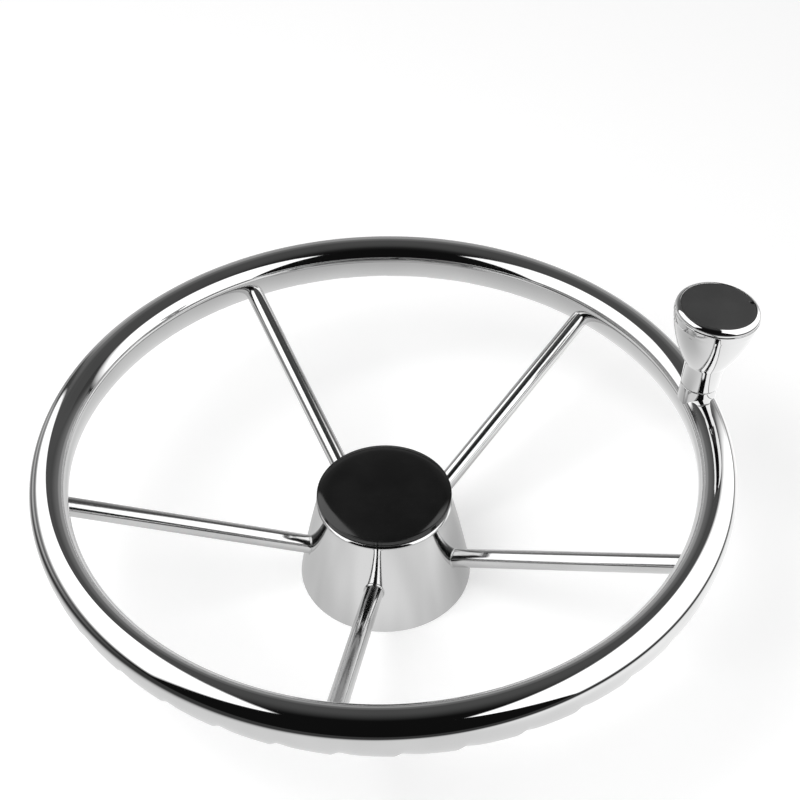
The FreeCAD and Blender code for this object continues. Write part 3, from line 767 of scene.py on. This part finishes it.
def filletMesh(name, offWall, search, material):
    w, s = weldSizes, spokeSizes
    start = Vector((s["Hub Ring"], 0, s["Hub Height"])) / mm
    end = Vector((s["Rim Ring"], 0, s["Rim Height"])) / mm
    length = (end - start).length
    along = (end - start) / length
    side = Vector((0, 1, 0))
    radius = s["Radius"] / mm
    buried, free = (share * length for share in search)
    back = 1 if free > buried else -1
    spots, faces = [], []
    for step in range(w["aroundSteps"]):
        turn = fullTurn * step / w["aroundSteps"]
        out = side * math.cos(turn) + along.cross(side) * math.sin(turn)
        corner, edge = (wallDistance(offWall, start + out * reach, along, buried, free)
                        for reach in (radius, radius + w["throat"]))
        first = (radius - w["bury"], corner + back * w["throat"])
        last = (radius + w["throat"], edge - back * w["bury"])
        for across in range(w["acrossSteps"] + 1):
            t = across / w["acrossSteps"]
            reach = bend(first[0], radius, last[0], t)
            place = bend(first[1], corner, last[1], t)
            spots.append((start + along * place + out * reach) * mm)
    row = w["acrossSteps"] + 1
    for step in range(w["aroundSteps"]):
        follower = (step + 1) % w["aroundSteps"]
        for across in range(w["acrossSteps"]):
            face = [step * row + across, follower * row + across,
                    follower * row + across + 1, step * row + across + 1]
            faces.append(face if back < 0 else face[::-1])
    return meshObject(name, spots, faces, material, sharpAngle=w["sharpAngle"])


def buildWelds(label, node, offWall, search, material):
    fillet = filletMesh(label + "One", offWall, search, material)
    inputs = {"Count": spokeSizes["Count"], "Phase": spokeSizes["Phase"]}
    tree, given, result = startTree(label, socketKinds(inputs))
    source = addNode(tree, "GeometryNodeObjectInfo")
    source.inputs["Object"].default_value = fillet
    feed(tree, result["Geometry"], spreadRound(tree, given, source.outputs["Geometry"], material))
    welds = bakeTree(label, tree, inputs)
    bpy.data.objects.remove(fillet)
    fitted(welds, "wheel", "weld_steel", node)


dressedWeld = polishedSteel("dressedWeld", light=0.62, dark=0.54, smoothest=0.08, roughest=0.18,
                            waveBump=0.10)
buildWelds("hubWelds", "hub_welds", offHub, weldSizes["hubSearch"], dressedWeld)
buildWelds("rimWelds", "rim_welds", offRim, weldSizes["rimSearch"], dressedWeld)
dress(weldSteel("weldSteel"), "plate_weld", "boss_weld")
print("welds made")

# studio: pale floor, soft panels, dark surroundings and the camera
studio = {
    "floorSize": 8.0, "floorColour": 0.80, "floorRoughness": 0.9, "floorGlow": 0.42,
    "worldLight": 0.55, "darkGlow": 0.008,
    "keySize": 1.2, "keyPower": 18.0, "keyPlace": (-0.9, -0.5, 1.6), "keyAim": (0.0, 0.0, 0.05),
}
# painted reflection: how bright polished pieces see the floor, a glow that stands in for it,
# with painted shade under the hub: in front of the hub, under the hub and out to the rim
# behind it, what is added on the right, and the dark far floor with its paler back corners;
# each fade runs between two distances in metres
floorSheen = {
    "front": 0.84, "hub": 0.58, "rim": 0.86, "right": 0.33, "far": 0.05, "farBack": 0.34,
    "hubToRim": (0.04, 0.20), "frontToBack": (-0.08, 0.0), "rightFade": (0.06, 0.26),
    "backFade": (0.0, 0.35), "sideFade": (0.08, 0.34),
    "farFade": (0.28, 0.44), "farShift": 0.07, "farStretch": 0.8,
}
# the camera's fit to the photo: focal length and frame in pixels, small turns in degrees
cameraView = {
    "place": (0.0, -0.529412, 0.602622), "aim": 0.085,
    "focal": 1505.5, "frame": 800, "sensor": 36.0, "clip": 0.01,
    "roll": 1.29, "yaw": 0.679, "pitch": -1.929,
}
# each soft panel's glow, its fades at the front, back, foot and top as shares of
# its width and height, and its corners: foot front, top front, top back, foot back
panels = {
    "leftPanel": (1.7, (0.05, 0.04, 0.14, 0.07), [
        (-0.620, -0.386, 0.135), (-0.326, -0.454, 0.891),
        (-0.224, 0.485, 0.798), (-0.475, 0.485, 0.155)]),
    "leftDim": (0.22, (0.7, 0.05, 0.0, 0.3), [
        (-0.635, -0.386, 0.001), (-0.635, -0.386, 0.220),
        (-0.490, 0.485, 0.220), (-0.490, 0.485, 0.001)]),
    "rightPanel": (1.7, (0.04, 0.06, 0.10, 0.07), [
        (1.000, -0.920, 0.015), (0.424, -0.961, 1.470),
        (0.248, 0.279, 0.500), (0.444, 0.285, 0.015)]),
    "backPanel": (0.20, (0.05, 0.05, 0.0, 0.30), [
        (-0.392, 0.480, 0.001), (-0.392, 0.480, 0.310),
        (0.811, 0.480, 0.310), (0.811, 0.480, 0.001)]),
    "backDim": (0.12, (0.1, 0.1, 0.0, 0.5), [
        (-0.45, 0.50, 0.001), (-0.45, 0.50, 0.640), (0.85, 0.50, 0.640), (0.85, 0.50, 0.001)]),
    "rearDim": (0.030, (0.5, 0.1, 0.1, 0.1), [
        (-0.35, -0.24, 0.62), (0.35, -0.24, 0.62), (0.35, 0.60, 0.62), (-0.35, 0.60, 0.62)]),
    "ceilingDim": (0.052, (0.1, 0.1, 0.0, 0.59), [
        (-1.3, 1.15, 0.0), (-1.3, -0.45, 1.7), (1.3, -0.45, 1.7), (1.3, 1.15, 0.0)]),
}
panelSteps = 32


def glowMaterial(name):
    # a veil: adds its own glow to whatever lies behind it
    material = bpy.data.materials.new(name)
    material.use_nodes = True
    tree = material.node_tree
    tree.nodes.clear()
    glow = addNode(tree, "ShaderNodeEmission")
    level = addNode(tree, "ShaderNodeAttribute", attribute_name="level")
    feed(tree, glow.inputs["Strength"], level.outputs["Fac"])
    veil = addNode(tree, "ShaderNodeAddShader")
    tree.links.new(glow.outputs[0], veil.inputs[0])
    tree.links.new(addNode(tree, "ShaderNodeBsdfTransparent").outputs[0], veil.inputs[1])
    tree.links.new(veil.outputs[0], addNode(tree, "ShaderNodeOutputMaterial").inputs["Surface"])
    return material


def softShare(share, low, high):
    # 0 at both ends and 1 between them, with a soft fade where one is given
    level = 1.0
    for distance, fade in ((share, low), (1 - share, high)):
        if fade:
            near = min(distance / fade, 1.0)
            level *= near * near * (3 - 2 * near)
    return level


def softPanel(name, strength, fades, corners, material):
    # only polished pieces see it
    footFront, topFront, topBack, footBack = (Vector(corner) for corner in corners)
    spots, levels, faces = [], [], []
    for row in range(panelSteps + 1):
        for column in range(panelSteps + 1):
            u, v = column / panelSteps, row / panelSteps
            spots.append(footFront.lerp(footBack, u).lerp(topFront.lerp(topBack, u), v))
            levels.append(strength * softShare(u, *fades[:2]) * softShare(v, *fades[2:]))
    width = panelSteps + 1
    for row in range(panelSteps):
        for column in range(panelSteps):
            corner = row * width + column
            faces.append((corner, corner + 1, corner + width + 1, corner + width))
    panel = meshObject(name, spots, faces, material)
    panel.data.attributes.new("level", "FLOAT", "POINT").data.foreach_set("value", levels)
    panel.visible_camera = False
    panel.visible_diffuse = False
    panel.visible_shadow = False


def paleFloor():
    # lit and shadowed for the camera; for polished pieces a softly glowing card, a painted
    # reflection of the floor with painted shade under the hub and a dark far floor
    s = floorSheen
    material, tree, shader, place = startMaterial("paleFloor")
    shader.inputs["Base Color"].default_value = grey(studio["floorColour"])
    shader.inputs["Roughness"].default_value = studio["floorRoughness"]
    shader.inputs["Emission Color"].default_value = grey(1.0)
    path = addNode(tree, "ShaderNodeLightPath")
    feed(tree, shader.inputs["Emission Strength"],
         mathNode(tree, "MULTIPLY", path.outputs["Is Camera Ray"], studio["floorGlow"]))
    split = addNode(tree, "ShaderNodeSeparateXYZ")
    feed(tree, split.inputs[0], place)
    across, along = split.outputs[0], split.outputs[1]
    behind = rampNode(tree, lengthNode(tree, place), *s["hubToRim"], s["hub"], s["rim"])
    near = mixNumbers(tree, rampNode(tree, along, *s["frontToBack"]), s["front"], behind)
    near = mathNode(tree, "ADD", near, rampNode(tree, across, *s["rightFade"], 0.0, s["right"]))
    sides = rampNode(tree, mathNode(tree, "ABSOLUTE", across), *s["sideFade"])
    backSides = mathNode(tree, "MULTIPLY", rampNode(tree, along, *s["backFade"]), sides)
    far = mixNumbers(tree, backSides, s["far"], s["farBack"])
    farPlace = stretched(tree, place, (1.0, s["farStretch"], 1.0), shift=(-s["farShift"], 0.0, 0.0))
    fall = rampNode(tree, lengthNode(tree, farPlace), *s["farFade"])
    # painted reflection: glossy rays see this glow in place of the lit floor, with painted shade
    # near the hub
    sheen = addNode(tree, "ShaderNodeEmission")
    feed(tree, sheen.inputs["Strength"], mixNumbers(tree, fall, near, far))
    choice = addNode(tree, "ShaderNodeMixShader")
    feed(tree, choice.inputs[0], path.outputs["Is Glossy Ray"])
    tree.links.new(shader.outputs[0], choice.inputs[1])
    tree.links.new(sheen.outputs[0], choice.inputs[2])
    output = [node for node in tree.nodes if node.type == "OUTPUT_MATERIAL"][0]
    tree.links.new(choice.outputs[0], output.inputs["Surface"])
    return material


def buildStudio():
    scene = bpy.context.scene
    world = bpy.data.worlds.new("studioWorld")
    scene.world = world
    world.use_nodes = True
    tree = world.node_tree
    tree.nodes.clear()
    path = addNode(tree, "ShaderNodeLightPath").outputs
    ambient = mathNode(tree, "MULTIPLY", path["Is Diffuse Ray"], studio["worldLight"])
    seen = mathNode(tree, "MAXIMUM", path["Is Camera Ray"], path["Is Transmission Ray"])
    shine = mathNode(tree, "MULTIPLY", path["Is Glossy Ray"], studio["darkGlow"])
    level = mathNode(tree, "ADD", mathNode(tree, "ADD", ambient, seen), shine)
    background = addNode(tree, "ShaderNodeBackground")
    feed(tree, background.inputs["Strength"], level)
    tree.links.new(background.outputs[0], addNode(tree, "ShaderNodeOutputWorld").inputs["Surface"])

    half = studio["floorSize"] / 2
    square = [(-half, -half, 0), (half, -half, 0), (half, half, 0), (-half, half, 0)]
    floor = meshObject("floor", square, [(0, 1, 2, 3)], paleFloor())
    panelGlow = glowMaterial("panelGlow")
    for name, (strength, fades, corners) in panels.items():
        softPanel(name, strength, fades, corners, panelGlow)

    key = bpy.data.lights.new("softKey", "AREA")
    key.size = studio["keySize"]
    key.energy = studio["keyPower"]
    lamp = bpy.data.objects.new("softKey", key)
    lamp.location = studio["keyPlace"]
    aim = Vector(studio["keyAim"]) - Vector(studio["keyPlace"])
    lamp.rotation_euler = aim.to_track_quat("-Z", "Y").to_euler()
    lamp.visible_glossy = False
    scene.collection.objects.link(lamp)


def placeCamera():
    v = cameraView
    eye = Vector(v["place"])
    back = (eye - Vector((0, 0, v["aim"]))).normalized()
    right = Vector((1, 0, 0))
    level = Matrix((right, back.cross(right), back))
    roll, pitch, yaw = (Matrix.Rotation(math.radians(v[label]), 3, axis)
                        for label, axis in (("roll", "Z"), ("pitch", "X"), ("yaw", "Y")))
    rows = roll @ pitch @ yaw @ level
    data = bpy.data.cameras.new("photoCamera")
    data.sensor_width = v["sensor"]
    data.lens = v["focal"] / v["frame"] * v["sensor"]
    data.clip_start = v["clip"]
    camera = bpy.data.objects.new("photoCamera", data)
    camera.matrix_world = Matrix.Translation(eye) @ rows.transposed().to_4x4()
    bpy.context.scene.collection.objects.link(camera)
    bpy.context.scene.camera = camera


buildStudio()
placeCamera()
bpy.context.scene.view_settings.view_transform = "Standard"
print("studio made")
